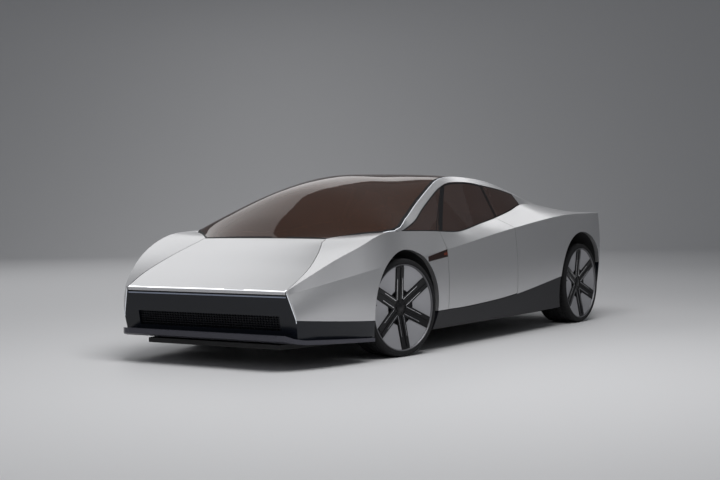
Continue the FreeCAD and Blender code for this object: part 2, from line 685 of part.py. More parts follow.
# Luggage tubs under the hood and under the tail lid
def make_tubs():
    room = skin(lower_section, LOWER_STATIONS, PANEL + 12)
    front = block(448, 1040, -493.7, 493.7, 300, 900).common(room)
    front = front.cut(block(470, 1018, -472, 472, 322, 900))
    shelf = block(300, 448, -493.7, 493.7, 560, 840).common(room)
    tub = one([front, shelf])
    for arm in hood_arms(RUNNING):
        tub = tub.cut(arm)
    keep("front_tub", tub)
    rear = block(-3660, -3080, -555, 555, 560, 1000).common(room)
    rear = rear.cut(block(-3640, -3100, -535, 535, 580, 1000))
    rear = rear.fuse(block(-3080, -2540, -555, 555, 880, 902))
    for y in (-420, 420):
        rear = rear.fuse(block(-3142, -3055, y - 30, y + 30, 885, 956))
    for arm in tail_lid_arms(RUNNING):
        rear = rear.cut(arm)
    keep("rear_tub", rear)


# Subframes with drive units, arms and half shafts
ARM_DROP = 177.0
PIN_RADIUS = 14.0


def arm_pair(end, height):
    eye_y = size("kingpin_y")
    centre = V(along(AXLES[end]), eye_y, AXLE_Z + height)
    plan = [V(along(AXLES[end]) + x, y, AXLE_Z + height - 11)
            for x, y in ((-150, 280), (150, 280), (24, eye_y), (-24, eye_y))]
    web = Part.Face(Part.makePolygon(plan + plan[:1])).extrude(V(0, 0, 22))
    hole = [V(along(AXLES[end]) + x, y, AXLE_Z + height - 12)
            for x, y in ((-105, 320), (105, 320), (14, eye_y - 110), (-14, eye_y - 110))]
    web = web.cut(Part.Face(Part.makePolygon(hole + hole[:1])).extrude(V(0, 0, 24)))
    eye = Part.makeCylinder(29, 22, centre - V(0, 0, 11))
    return web.fuse(eye).cut(Part.makeCylinder(PIN_RADIUS + RUNNING, 40, centre - V(0, 0, 20)))


def make_subframe(end):
    seat = size("floor_bottom") + size("floor_thickness") + 0.3
    drive = block(AXLES[end] - 170, AXLES[end] + 170, -280, 280, seat, 470)
    top = block(AXLES[end] - 150, AXLES[end] + 150, -280, 280, 460, 545)
    pieces = [drive, top]
    shaft_end = size("kingpin_y") - (62 if end == "front" else 36)
    shaft = Part.makeCylinder(19, shaft_end - 200, V(along(AXLES[end]), 200, AXLE_Z), V(0, 1, 0))
    for piece in (arm_pair(end, -ARM_DROP), arm_pair(end, ARM_DROP), shaft):
        pieces += both(piece)
    keep("subframe_" + end, one(pieces))


# Wheels, tyres and knuckles are drawn for the left side, outer face at zero, and then turned and placed
def revolved(profile):
    corners = [V(r, y, 0) for r, y in profile]
    return Part.Face(Part.makePolygon(corners + corners[:1])).revolve(V(0, 0, 0), V(0, 1, 0), 360)


def wheel_shape(width):
    rim = size("rim_radius")
    seat = rim - 5
    barrel = revolved([(rim + 2, -2), (rim + 2, -10), (seat, -12), (seat, -40), (seat - 9, -60),
                       (seat - 9, 60 - width), (seat, 40 - width), (seat, 12 - width), (rim + 2, 10 - width),
                       (rim + 2, 2 - width), (seat - 5, 2 - width), (seat - 18, 60 - width),
                       (seat - 18, -60), (seat - 9, -14), (seat - 7, -2)])
    dish = size("dish_depth")
    hub = size("hub_radius")
    panel = revolved([(seat - 8, -10), (seat - 8, -17), (hub - 5, -dish - 17), (hub - 5, -dish - 10)])
    pieces = [barrel, panel]
    spoke_plan = [(hub - 22, -38), (seat - 8, -31), (seat - 8, 31), (hub - 22, 38)]
    cone = revolved([(seat - 6, -2), (seat - 6, -24), (30, -dish - 30), (30, -dish + 2)])
    count = int(size("spoke_count"))
    for number in range(count):
        corners = [V(r, -200, w) for r, w in spoke_plan]
        spoke = Part.Face(Part.makePolygon(corners + corners[:1])).extrude(V(0, 300, 0)).common(cone)
        spoke.rotate(V(0, 0, 0), V(0, 1, 0), 30 + 360.0 * number / count)
        pieces.append(spoke)
    pieces.append(Part.makeCylinder(hub, 62, V(0, -dish - 62, 0), V(0, 1, 0)))
    disc = Part.makeCylinder(size("disc_radius"), size("disc_thickness"), V(0, -115, 0), V(0, 1, 0))
    pieces.append(disc)
    bore = Part.makeCylinder(30 + 0.3, 80, V(0, -140, 0), V(0, 1, 0))
    return one(pieces).cut(bore)


def tyre_shape(width):
    radius, rim = size("tyre_radius"), size("rim_radius")
    seat = rim - 5 + 0.5
    half = [(seat, -13.5), (rim + 3, -11.5), (rim + 4, -1), (rim + 12, 3), (radius - 14, 0),
            (radius - 5, -11), (radius, -30)]
    return revolved(half + [(r, -width - y) for r, y in half[::-1]])


def knuckle_shape():
    inboard = size("kingpin_y") - size("wheel_face_y")
    spindle = Part.makeCylinder(30, 90, V(0, inboard, 0), V(0, 1, 0))
    carrier = Part.makeBox(90, 47, 2 * (ARM_DROP - 14), V(-45, inboard - 28, -(ARM_DROP - 14)))
    pins = []
    for foot in (ARM_DROP - 20, -ARM_DROP - 11):
        pins.append(Part.makeCylinder(PIN_RADIUS, 31, V(0, inboard, foot)))
    bridge = size("disc_radius") + 9
    outline = [(-128, -62), (-bridge - 20, -100), (-bridge - 32, -50), (-bridge - 32, 50),
               (-bridge - 20, 100), (-128, 62), (-140, 0)]
    corners = [V(x, -136, z) for x, z in outline]
    caliper = Part.Face(Part.makePolygon(corners + corners[:1])).extrude(V(0, 66, 0))
    caliper = caliper.cut(Part.makeBox(bridge, size("disc_thickness") + 12, 260, V(-bridge, -121, -130)))
    bracket = Part.makeBox(160, 18, 90, V(-180, -142, -45))
    return one([spindle, carrier, caliper, bracket] + pins)


def placed(shape, end, side):
    # Puts a corner's piece at its wheel, with the front wheels turned about their kingpins
    shape = shape.copy()
    shape.translate(V(along(AXLES[end]), size("wheel_face_y"), AXLE_Z))
    if side == "right":
        shape = mirror(shape)
    if end == "front":
        kingpin = V(along(AXLES[end]), size("kingpin_y") * (1 if side == "left" else -1), 0)
        shape.rotate(kingpin, V(0, 0, 1), -size("steer_rest_deg"))
    return shape


def make_corners():
    for end in ("front", "rear"):
        width = size("tyre_width_" + end)
        wheel, tyre, knuckle = wheel_shape(width), tyre_shape(width), knuckle_shape()
        for side in ("left", "right"):
            keep("wheel_%s_%s" % (end, side), placed(wheel, end, side))
            keep("tyre_%s_%s" % (end, side), placed(tyre, end, side))
            keep("knuckle_%s_%s" % (end, side), placed(knuckle, end, side))


# Cabin
def make_cabin():
    room = skin(lower_section, LOWER_STATIONS, PANEL + 4)
    dash = side_prism([(290, 842), (290, 860), (-60, 868), (-560, 862), (-640, 830), (-640, 700), (-560, 640),
                       (-452.3, 640), (-452.3, 842)], -760, 760).common(room)
    console = block(-1500, -452.3, -90, 90, size("cabin_floor"), 560)
    keep("dashboard", one([dash, console]))
    seat_x = size("seat_base_x")
    profile = [(seat_x + 250, 330), (seat_x + 260, 470), (seat_x - 180, 440), (seat_x - 400, 1060),
               (seat_x - 500, 1050), (seat_x - 330, 400), (seat_x - 250, 330)]
    foot = [(seat_x + 200, size("cabin_floor")), (seat_x + 200, 335), (seat_x - 250, 335),
            (seat_x - 250, size("cabin_floor"))]
    half = size("seat_width") / 2
    middle = size("seat_y")
    seat = side_prism(profile, middle - half, middle + half)
    base = side_prism(foot, middle - half + 60, middle + half - 60)
    seat = one([seat, base])
    keep("seat_left", seat)
    keep("seat_right", mirror(seat))
    bench = side_prism([(-1960, size("cabin_floor")), (-1950, 480), (-2320, 450), (-2460, 960), (-2515, 960),
                        (-2515, size("cabin_floor"))], -560, 560)
    keep("rear_seat", bench)
    ring = Part.makeTorus(size("wheel_rim_radius"), 15, V(0, 0, 0), V(0, 0, 1))
    hub = Part.makeCylinder(48, 46, V(0, 0, -30))
    bar = Part.makeBox(24, 2 * size("wheel_rim_radius") - 12, 18, V(-12, 6 - size("wheel_rim_radius"), -9))
    column = Part.makeCylinder(24, 260, V(0, 0, -270))
    helm = one([ring, hub, bar, column])
    helm.rotate(V(0, 0, 0), V(0, 1, 0), -66)
    helm.translate(V(along(-830), size("seat_y"), 800))
    keep("steering_wheel", helm.cut(dash))


make_doors()
make_hood()
make_fenders()
make_nose()
make_roof_frame()
make_glass()
make_quarters()
make_tail()
make_sills()
make_markers()
make_floor()
make_tubs()
make_subframe("front")
make_subframe("rear")
make_corners()
make_cabin()

doc.recompute()
for item in doc.Objects:
    if "Invalid" in item.State or "Error" in item.State:
        raise RuntimeError(item.Label + " failed")
for feature in made:
    if feature.Shape.isNull() or not feature.Shape.isValid():
        raise RuntimeError(feature.Label + " has no valid shape")
os.makedirs("parts", exist_ok=True)
for feature in made:
    feature.Shape.exportStep("parts/%s.step" % feature.Label)
    print(feature.Label, len(feature.Shape.Solids), round(feature.Shape.Volume / 1e6, 2))
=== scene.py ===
import json
import math

import bpy
import bmesh
from mathutils import Matrix, Vector
from mathutils.bvhtree import BVHTree


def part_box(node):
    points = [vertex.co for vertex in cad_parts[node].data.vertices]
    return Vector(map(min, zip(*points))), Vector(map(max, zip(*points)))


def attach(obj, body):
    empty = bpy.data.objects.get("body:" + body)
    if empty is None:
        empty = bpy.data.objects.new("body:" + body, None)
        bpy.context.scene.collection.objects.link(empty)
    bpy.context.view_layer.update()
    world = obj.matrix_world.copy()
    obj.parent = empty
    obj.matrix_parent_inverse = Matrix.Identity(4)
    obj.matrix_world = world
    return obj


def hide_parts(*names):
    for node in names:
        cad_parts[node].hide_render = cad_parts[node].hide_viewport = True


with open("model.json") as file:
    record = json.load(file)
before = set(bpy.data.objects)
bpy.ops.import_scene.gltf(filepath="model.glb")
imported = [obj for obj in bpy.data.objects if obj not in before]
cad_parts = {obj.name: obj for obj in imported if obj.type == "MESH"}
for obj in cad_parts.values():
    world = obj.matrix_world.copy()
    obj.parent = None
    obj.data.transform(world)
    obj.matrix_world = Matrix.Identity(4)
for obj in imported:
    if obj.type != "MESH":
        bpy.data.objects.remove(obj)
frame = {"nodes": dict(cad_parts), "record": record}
NODES = frame["nodes"]


# Sizes of the CAD frame that the added pieces follow, in metres, and the front wheels' angle at rest
FRONT_X, REAR_X = 1.28, -1.72
AXLE_Z = 0.358
FACE_Y, KINGPIN_Y = 0.964, 0.810
RIM, SEAT = 0.314, 0.309
WIDTH = {"front": 0.250, "rear": 0.290}
STEER = math.radians(10.4)

# The two sides with the sign of their y
SIDES = (("left", 1), ("right", -1))


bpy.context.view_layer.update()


# Materials
def put(node, values):
    for socket, value in values.items():
        node.inputs[socket].default_value = value


def material(name, values):
    mat = bpy.data.materials.new(name)
    mat.use_nodes = True
    shader = next(node for node in mat.node_tree.nodes if node.type == "BSDF_PRINCIPLED")
    put(shader, values)
    return mat, shader


def plain(name, color, rough=0.5, metal=0.0, coat=0.0, coat_rough=0.05, spec=0.5, speck=0.0, scale=400.0,
          bump=0.0):
    # A solid colour, with noise of the given scale in its roughness (speck) and its relief (bump)
    mat, shader = material(name, {"Base Color": (*color, 1), "Roughness": rough, "Metallic": metal,
                                  "Coat Weight": coat, "Coat Roughness": coat_rough,
                                  "Specular IOR Level": spec})
    if not speck and not bump:
        return mat
    tree = mat.node_tree
    place = tree.nodes.new("ShaderNodeTexCoord")
    noise = tree.nodes.new("ShaderNodeTexNoise")
    put(noise, {"Scale": scale, "Detail": 4})
    tree.links.new(place.outputs["Object"], noise.inputs["Vector"])
    if speck:
        ramp = tree.nodes.new("ShaderNodeMapRange")
        put(ramp, {"From Min": 0.25, "From Max": 0.75, "To Min": rough - speck, "To Max": rough + speck})
        tree.links.new(noise.outputs["Fac"], ramp.inputs["Value"])
        tree.links.new(ramp.outputs["Result"], shader.inputs["Roughness"])
    if bump:
        relief = tree.nodes.new("ShaderNodeBump")
        put(relief, {"Strength": bump, "Distance": 0.001})
        tree.links.new(noise.outputs["Fac"], relief.inputs["Height"])
        tree.links.new(relief.outputs["Normal"], shader.inputs["Normal"])
    return mat


def glass(name, color, clear, ior=1.45):
    mat, shader = material(name, {"Base Color": (*color, 1), "Transmission Weight": clear})
    put(shader, {"Roughness": 0.03, "IOR": ior})
    return mat


def glowing(name, color, strength):
    mat, shader = material(name, {"Base Color": (*color, 1), "Roughness": 0.25})
    put(shader, {"Emission Color": (*color, 1), "Emission Strength": strength})
    return mat


PAINT = plain("satin_silver", (0.60, 0.60, 0.61), rough=0.30, metal=0.72, coat=0.35, coat_rough=0.12,
              speck=0.04, scale=900)
GLOSS = plain("gloss_black", (0.005, 0.007, 0.012), rough=0.22, coat=0.08, coat_rough=0.05, spec=0.32)
SATIN = plain("dark_satin", (0.009, 0.009, 0.012), rough=0.45, spec=0.28, speck=0.05, scale=300)
LIP = plain("lip_satin", (0.060, 0.060, 0.075), rough=0.33, metal=0.3, speck=0.05, scale=300)
TINT = glass("bronze_glass", (0.165, 0.088, 0.062), 0.80, 1.36)
DARK_TINT = glass("side_glass", (0.125, 0.075, 0.062), 0.75)
WHITE_LINE = glowing("white_line", (0.22, 0.25, 0.32), 0.12)
# The glowing hood colour is a painted highlight on the hood's front edge
HOOD_HIGHLIGHT = glowing("painted_hood_highlight", (0.90, 0.92, 0.95), 0.85)
# The glowing edge colour is a painted highlight along the windscreen's sides and down the nose's corners
EDGE_HIGHLIGHT = glowing("painted_edge_highlight", (0.80, 0.83, 0.88), 0.45)
# Copper lens colour with a faint glow that paints glints on the marker's rear end
COPPER_GLINT = glowing("copper_lens_glint", (0.22, 0.042, 0.022), 0.06)
SCREEN = plain("screen_glass", (0.010, 0.011, 0.014), rough=0.08, coat=0.6, coat_rough=0.02)
DIAL = glowing("screen_marks", (0.55, 0.62, 0.70), 0.5)
RED_LINE = glowing("red_line", (0.75, 0.015, 0.012), 0.6)
AMBER = glowing("amber_lens", (0.018, 0.006, 0.004), 0.01)
UNDER = plain("underbody", (0.018, 0.018, 0.019), rough=0.7, speck=0.08, scale=120)
CASE = plain("metal_case", (0.22, 0.22, 0.23), rough=0.45, metal=0.8, speck=0.06, scale=200)
CAST = plain("cast_metal", (0.30, 0.30, 0.31), rough=0.5, metal=0.9, speck=0.08, scale=240, bump=0.2)
TRIM = plain("cabin_trim", (0.035, 0.033, 0.035), rough=0.6, speck=0.06, scale=500, bump=0.15)
LEATHER = plain("seat_leather", (0.16, 0.14, 0.13), rough=0.48, speck=0.06, scale=350, bump=0.25)
STITCH = plain("seat_thread", (0.45, 0.42, 0.38), rough=0.7)
SPOKE = plain("spoke_black", (0.006, 0.006, 0.007), rough=0.34, coat=0.06, coat_rough=0.1, spec=0.32)
AERO = plain("aero_grey", (0.42, 0.42, 0.44), rough=0.36, metal=0.55, speck=0.03, scale=500)
RIM_GREY = plain("rim_grey", (0.16, 0.16, 0.17), rough=0.45, metal=0.6, speck=0.04, scale=500)
BRIGHT = plain("machined_edge", (0.88, 0.88, 0.90), rough=0.22, metal=0.9)
RUBBER = plain("tyre_rubber", (0.012, 0.012, 0.013), rough=0.78, spec=0.28, speck=0.08, scale=260, bump=0.2)
STEEL = plain("brake_steel", (0.42, 0.41, 0.40), rough=0.30, metal=1.0, speck=0.06, scale=600)
SEAL = plain("seal_black", (0.006, 0.006, 0.007), rough=0.55, spec=0.18)

SLOTS = {"body_paint": PAINT, "gloss_black": GLOSS, "dark_satin": SATIN, "tinted_glass": TINT,
         "lamp_white": WHITE_LINE, "lamp_red": RED_LINE, "lamp_amber": AMBER, "underbody": UNDER,
         "metal_case": CASE, "cast_metal": CAST, "cabin_trim": TRIM, "seat_leather": LEATHER,
         "wheel_metal": AERO, "tyre_rubber": RUBBER}

slot_of = {p["node"]: p["material_slot"] for p in frame["record"]["subparts"]}
for name, node in NODES.items():
    node.data.materials.clear()
    node.data.materials.append(SLOTS[slot_of[name]])
for name in ("door_glass_left", "door_glass_right", "side_glass_left", "side_glass_right"):
    NODES[name].data.materials[0] = DARK_TINT
NODES["splitter"].data.materials[0] = LIP


# Making pieces
def piece(name, verts, faces, mat, body=None, slot=None, smooth=True, angle=35):
    mesh = bpy.data.meshes.new(name)
    mesh.from_pydata([tuple(v) for v in verts], [], faces)
    work = bmesh.new()
    work.from_mesh(mesh)
    bmesh.ops.remove_doubles(work, verts=work.verts, dist=1e-6)
    bmesh.ops.recalc_face_normals(work, faces=work.faces)
    work.to_mesh(mesh)
    work.free()
    obj = bpy.data.objects.new(name, mesh)
    bpy.context.scene.collection.objects.link(obj)
    mesh.materials.append(mat)
    if smooth:
        mesh.shade_smooth()
        mesh.set_sharp_from_angle(angle=math.radians(angle))
    if body:
        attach(obj, body)
    return obj


def tube_faces(rings, count, closed=False):
    # Faces between closed rings of points; closed joins the last ring to the first
    faces = []
    for i in range(rings if closed else rings - 1):
        here, there = i * count, (i + 1) % rings * count
        for k in range(count):
            m = (k + 1) % count
            faces.append((here + k, here + m, there + m, there + k))
    return faces


def slab_faces(rows, cols):
    # Faces of two grids of rows by cols cells, one under the other, and of the rim between them
    faces = []
    per = cols + 1
    count = per * (rows + 1)
    for i in range(rows):
        for k in range(cols):
            a = per * i + k
            faces.append((a, a + 1, a + per + 1, a + per))
            faces.append((count + a, count + a + per, count + a + per + 1, count + a + 1))
    loop = list(range(per)) + [per * i + cols for i in range(1, rows + 1)]
    loop += [per * rows + k for k in range(cols - 1, -1, -1)]
    loop += [per * i for i in range(rows - 1, 0, -1)]
    for a, b in zip(loop, loop[1:] + loop[:1]):
        faces.append((a, count + a, count + b, b))
    return faces


def lathe(profile, steps, radius_at=None):
    # Turns (radius, y) points about the Y axis
    verts = []
    for i in range(steps):
        turn = 2 * math.pi * i / steps
        for j, (r, y) in enumerate(profile):
            if radius_at:
                r = radius_at(i, j, r, y)
            verts.append((r * math.cos(turn), y, r * math.sin(turn)))
    return verts, tube_faces(steps, len(profile), closed=True)


def joined(*meshes):
    # Several meshes as one; a mesh is its points and its faces
    verts, faces = [], []
    for more_verts, more_faces in meshes:
        start = len(verts)
        verts += [tuple(p) for p in more_verts]
        faces += [tuple(i + start for i in face) for face in more_faces]
    return verts, faces


def moved(mesh, matrix):
    verts, faces = mesh
    return [matrix @ Vector(p) for p in verts], faces


def box_mesh(low, high):
    x0, y0, z0 = low
    x1, y1, z1 = high
    verts = [(x0, y0, z0), (x1, y0, z0), (x1, y1, z0), (x0, y1, z0),
             (x0, y0, z1), (x1, y0, z1), (x1, y1, z1), (x0, y1, z1)]
    faces = [(0, 3, 2, 1), (4, 5, 6, 7), (0, 1, 5, 4), (1, 2, 6, 5), (2, 3, 7, 6), (3, 0, 4, 7)]
    return verts, faces


def capped(verts, faces, steps):
    # Closes the first and the last ring of a tube
    faces.append(tuple(range(steps - 1, -1, -1)))
    faces.append(tuple(range(len(verts) - steps, len(verts))))
    return verts, faces


def disc_mesh(radius, y0, y1, steps, at=(0, 0)):
    # A round disc across the Y axis, its middle at the (x, z) given
    verts = []
    for y in (y0, y1):
        for i in range(steps):
            turn = 2 * math.pi * i / steps
            verts.append((at[0] + radius * math.cos(turn), y, at[1] + radius * math.sin(turn)))
    return capped(verts, tube_faces(2, steps), steps)


# Wheels: a black six-spoke star over light panels, turned in the corner's own frame
SPOKES, FIRST_SPOKE = 6, math.radians(35)
HUB_R, FACE_R = 0.057, 0.306
HUB_DEPTH, FACE_DEPTH = 0.045, 0.010
NUTS, NUT_CIRCLE, FIRST_NUT = 5, 0.0445, 0.3
TREAD_R = 0.3578
GROOVE_DEPTH, CUT_DEPTH, FINE_CUT = 0.0065, 0.0045, 0.0030


def face_y(r):
    # The cone that the wheel's front follows, from the hub out to the rim
    return -HUB_DEPTH + (r - HUB_R) * (HUB_DEPTH - FACE_DEPTH) / (FACE_R - HUB_R)


def polar_slab(outline, front, back):
    # A slab over an outline of (radius, sideways) points, its two sides counted from the cone
    verts = []
    for offset in (front, back):
        for r, w in outline:
            verts.append((r, face_y(math.hypot(r, w)) + offset, w))
    count = len(outline)
    faces = [tuple(range(count)), tuple(range(2 * count - 1, count - 1, -1))]
    for i in range(count):
        j = (i + 1) % count
        faces.append((i, count + i, count + j, j))
    return verts, faces


def star_of(mesh, first):
    # The mesh once for each spoke
    turns = [first + 2 * math.pi * i / SPOKES for i in range(SPOKES)]
    return joined(*[moved(mesh, Matrix.Rotation(turn, 4, "Y")) for turn in turns])


def along_spoke(start, stop, one, other, steps=8):
    # A closed outline of (radius, sideways) points, out along one line and back along the other
    radii = [start + (stop - start) * i / steps for i in range(steps + 1)]
    return [(r, one(r)) for r in radii] + [(r, other(r)) for r in reversed(radii)]


def spoke_parts():
    # Each spoke is two dark bars over a sunk web, with a thin bright edge on each side
    web_end, bar_end = 0.302, 0.290
    edge_start, edge_end = 0.059, 0.212
    edge_in, edge_out, step = 0.0262, 0.0292, 0.004

    def half_width(r):
        return 0.0455 - 0.002 * (r - HUB_R) / (web_end - HUB_R)

    def half_slot(r):
        return 0.0060 + 0.004 * (r - HUB_R) / (bar_end - HUB_R)

    web = along_spoke(HUB_R, web_end, lambda r: -half_width(r), half_width)
    bars, lines = [polar_slab(web, front=-0.001, back=-0.016)], []
    for way in (-1, 1):
        bar = along_spoke(HUB_R, bar_end, lambda r: way * half_slot(r),
                          lambda r: way * (half_width(r) - step))
        bars.append(polar_slab(bar, front=0.0045, back=-0.004))
        edge = along_spoke(edge_start, edge_end, lambda r: way * edge_in, lambda r: way * edge_out)
        lines.append(polar_slab(edge, front=0.0058, back=0.002))
    return joined(*bars), joined(*lines)


def aero_panel():
    # A light panel between two spokes, dished a little towards its middle
    rows, cols = 10, 12
    inner, outer = 0.132, 0.3055
    sink, thick, dish = 0.003, 0.005, 0.0035
    verts = []
    for depth in (0, thick):
        for i in range(rows + 1):
            u = i / rows
            r = inner + (outer - inner) * u
            half_spoke = 0.0463 - 0.002 * (r - 0.07) / 0.23
            limit = math.pi / SPOKES - math.asin(half_spoke / r)
            for j in range(cols + 1):
                s = -1 + 2 * j / cols
                turn = s * limit
                sag = dish * (1 - s * s) * math.sin(math.pi * u)
                verts.append((r * math.cos(turn), face_y(r) - sink - sag - depth, r * math.sin(turn)))
    return verts, slab_faces(rows, cols)


def wheel_meshes(width):
    # The parts of one wheel with their materials, by name
    barrel = lathe([(RIM + 0.0015, -0.0025), (RIM + 0.0018, -0.009), (SEAT, -0.012), (SEAT, -0.040),
                    (SEAT - 0.009, -0.060), (SEAT - 0.009, 0.060 - width), (SEAT, 0.040 - width),
                    (SEAT, 0.012 - width), (RIM + 0.0018, 0.010 - width), (RIM + 0.0018, 0.002 - width),
                    (SEAT - 0.005, 0.002 - width), (SEAT - 0.014, 0.060 - width), (SEAT - 0.014, -0.060),
                    (SEAT - 0.006, -0.024), (SEAT - 0.0025, -0.012), (RIM - 0.0065, -0.006),
                    (RIM - 0.003, -0.0020)], 120)
    lip = lathe([(RIM + 0.0012, -0.0022), (RIM - 0.0005, -0.0012), (RIM - 0.0035, -0.0016),
                 (RIM - 0.0045, -0.0040), (RIM - 0.0020, -0.0060)], 120)
    bars, lines = spoke_parts()
    spokes, edges = star_of(bars, FIRST_SPOKE), star_of(lines, FIRST_SPOKE)
    panels = star_of(aero_panel(), FIRST_SPOKE + math.pi / SPOKES)
    back = lathe([(0.306, -0.0155), (0.300, -0.0240), (0.190, -0.0430), (0.120, -0.0560), (0.052, -0.0700),
                  (0.052, -0.0620), (0.120, -0.0500), (0.190, -0.0370), (0.300, -0.0165)], 96)
    hub = lathe([(0.0005, -0.0385), (0.034, -0.0385), (0.036, -0.0400), (0.037, -0.0440), (0.050, -0.0460),
                 (0.068, -0.0430), (0.074, -0.0440), (0.076, -0.0500), (0.076, -0.0700), (0.0005, -0.0700)],
                72)
    cap = lathe([(0.0005, -0.0350), (0.026, -0.0355), (0.030, -0.0375), (0.031, -0.0410), (0.0005, -0.0410)],
                48)
    nuts = []
    for i in range(NUTS):
        t = 2 * math.pi * i / NUTS + FIRST_NUT
        at = (NUT_CIRCLE * math.cos(t), NUT_CIRCLE * math.sin(t))
        nuts.append(disc_mesh(0.0085, -0.0520, -0.0405, 6, at))
        nuts.append(disc_mesh(0.0105, -0.0520, -0.0432, 20, at))
    stem = moved(disc_mesh(0.0035, 0, 0.030, 12), Matrix.Translation((0.285, -0.034, 0.035)))
    disc = lathe([(0.205, -0.085), (0.205, -0.0945), (0.196, -0.0960), (0.196, -0.1040), (0.205, -0.1055),
                  (0.205, -0.115), (0.120, -0.115), (0.120, -0.085)], 96)
    bell = lathe([(0.120, -0.086), (0.118, -0.072), (0.078, -0.066), (0.060, -0.066), (0.060, -0.114),
                  (0.120, -0.114)], 72)
    return {"rim": (barrel, RIM_GREY), "rim_lip": (lip, RIM_GREY),
            "spokes": (joined(spokes, back, hub), SPOKE), "spoke_edges": (edges, BRIGHT),
            "aero_panels": (panels, AERO), "cap": (cap, SPOKE), "nuts": (joined(*nuts, stem), SPOKE),
            "disc": (joined(disc, bell), STEEL)}


def tyre_mesh(width):
    # A cross-section with four lengthwise grooves, turned about the axle with cuts in its tread
    outer = [(SEAT + 0.0008, -0.0140), (0.3170, -0.0112), (0.3181, -0.0030), (0.3195, 0.0005),
             (0.3225, 0.0022), (0.3262, 0.0026), (0.3300, 0.0024), (0.3302, 0.0018), (0.3312, 0.0018),
             (0.3314, 0.0023), (0.3365, 0.0014), (0.3420, 0.0000), (0.3422, -0.0008), (0.3436, -0.0010),
             (0.3438, -0.0004), (0.3475, -0.0035), (0.3510, -0.0080), (0.3538, -0.0135), (0.3556, -0.0200)]
    half, shoulder, margin = width / 2, 0.028, 0.004
    brim, foot = 0.0052, 0.0040
    near, far = (0.022, 0.066) if width == WIDTH["front"] else (0.026, 0.078)
    across = [(-shoulder, 0)]
    for p in (far - half, near - half, -near - half, -far - half):
        across += [(p + brim, 0), (p + foot, 1), (p - foot, 1), (p - brim, 0)]
    across.append((shoulder - width, 0))
    full = []
    for (a, deep), (b, deep_next) in zip(across, across[1:]):
        full.append((a, deep))
        if not deep and not deep_next:
            full += [(a + (b - a) * k / 4, 0) for k in (1, 2, 3)]
    full.append(across[-1])
    tread = []
    for y, deep in full:
        crown = 0.0008 * ((y + half) / half) ** 2
        tread.append((TREAD_R - crown - GROOVE_DEPTH * deep, y))
    inner = [(r, -width - y) for r, y in outer[::-1]]
    first, last = len(outer), len(outer) + len(tread)
    middle = (first + last) / 2

    def radius_at(i, j, r, y):
        # Crosswise grooves in the shoulders and fine cuts further in
        if not first <= j < last or r < TREAD_R - GROOVE_DEPTH / 2:
            return r
        away = abs(y + half)
        phase = (i + int(abs(j - middle) * 0.5)) % 5
        if away > far + margin and phase == 0:
            return r - CUT_DEPTH
        if near + margin < away < far - margin and phase == 2 and i % 10 < 5:
            return r - FINE_CUT
        return r

    return lathe(outer + tread + inner, 300, radius_at)


def corner_matrix(end, sign):
    # From a wheel's own frame, its outer face at y = 0, to its corner, the front wheels turned as at rest
    place = Matrix.Translation((FRONT_X if end == "front" else REAR_X, FACE_Y, AXLE_Z))
    if sign < 0:
        place = Matrix.Scale(-1, 4, (0, 1, 0)) @ place
    if end == "front":
        pin = Matrix.Translation((FRONT_X, sign * KINGPIN_Y, 0))
        place = pin @ Matrix.Rotation(-STEER, 4, "Z") @ pin.inverted() @ place
    return place


for end in ("front", "rear"):
    meshes = wheel_meshes(WIDTH[end])
    rubber = tyre_mesh(WIDTH[end])
    for side, sign in SIDES:
        place = corner_matrix(end, sign)
        body = "wheel_%s_%s" % (end, side)
        for part, (mesh, mat) in meshes.items():
            name = "%s_%s_%s" % (part, end, side)
            piece(name, *moved(mesh, place), mat, body, "wheel_metal")
        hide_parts(body)
        name = "tread_%s_%s" % (end, side)
        tyre = piece(name, *moved(rubber, place), RUBBER, body, "tyre_rubber", angle=28)
        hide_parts("tyre_%s_%s" % (end, side))


# Borders, skins and lines laid on the CAD panels, which they enter by SINK
SINK = 0.001


def outer_edges(name, outward, least):
    # Chains of (place, outward, inward) along the edges of the faces that look outward
    fold = math.radians(32)
    work = bmesh.new()
    work.from_mesh(NODES[name].data)
    work.transform(NODES[name].matrix_world)
    bmesh.ops.remove_doubles(work, verts=work.verts, dist=2e-5)
    work.normal_update()
    outward = Vector(outward).normalized()
    nexts, facts = {}, {}
    for edge in work.edges:
        if len(edge.link_faces) != 2:
            continue
        seen = [f for f in edge.link_faces if f.normal.dot(outward) > least]
        if len(seen) != 1:
            continue
        face = seen[0]
        if edge.link_faces[0].normal.angle(edge.link_faces[1].normal, 0) < fold:
            continue
        a, b = edge.verts
        along = (b.co - a.co).normalized()
        inward = face.normal.cross(along)
        if inward.dot(face.calc_center_median() - a.co) < 0:
            inward = -inward
        for v, w in ((a, b), (b, a)):
            nexts.setdefault(v.index, []).append(w.index)
            place, out, into = facts.get(v.index, (v.co.copy(), Vector(), Vector()))
            facts[v.index] = (place, out + face.normal, into + inward)
    work.free()
    chains, used = [], set()
    ends = [i for i in sorted(nexts) if len(nexts[i]) == 1]
    for begin in ends + sorted(nexts):
        if begin in used:
            continue
        chain, here = [begin], begin
        used.add(begin)
        while True:
            free = [i for i in nexts[here] if i not in used]
            if not free:
                break
            here = free[0]
            used.add(here)
            chain.append(here)
        closed = begin in nexts[here] and len(chain) > 2
        row = [(facts[i][0], facts[i][1].normalized(), facts[i][2].normalized()) for i in chain]
        if len(row) > 1:
            chains.append((row, closed))
    return chains


